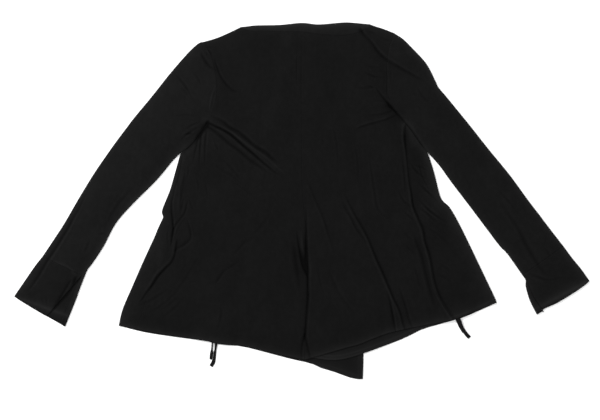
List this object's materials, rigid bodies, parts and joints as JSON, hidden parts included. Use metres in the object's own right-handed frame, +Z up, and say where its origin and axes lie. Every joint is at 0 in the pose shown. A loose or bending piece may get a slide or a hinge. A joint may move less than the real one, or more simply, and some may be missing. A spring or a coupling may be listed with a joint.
{
  "type": "draped cardigan",
  "caption": "Long-sleeved draped cardigan in fine black jersey, laid flat with its back up; flared swing hem, split cuffs and drawstring ends.",
  "frame": {"origin": "middle of the flat outline, on the surface the cardigan lies on; the ties are not measured", "axes": "+X across the back towards the wearer's right sleeve, +Y from the hem to the neck, +Z up out of the back"},
  "size_m": [1.151, 0.7138, 0.008],
  "materials": {
    "back_jersey": "fine single jersey, matt with a faint sheen on ridges",
    "front_jersey": "fine single jersey, matt with a faint sheen on ridges",
    "sleeve_jersey": "fine single jersey, matt with a faint sheen on ridges",
    "cuff_jersey": "fine single jersey, doubled at the hem",
    "collar_jersey": "fine jersey band, folded lengthwise",
    "tie_cord": "narrow self-fabric drawstring, matt"
  },
  "bodies": {
    "root": {"back_left": "back_jersey", "back_right": "back_jersey", "front_left": "front_jersey", "front_right": "front_jersey", "sleeve_left": "sleeve_jersey", "sleeve_right": "sleeve_jersey", "cuff_left": "cuff_jersey", "cuff_right": "cuff_jersey", "collar": "collar_jersey", "tie_left_short": "tie_cord", "tie_left_long": "tie_cord", "tie_right_short": "tie_cord", "tie_right_long": "tie_cord"}
  },
  "joints": []
}
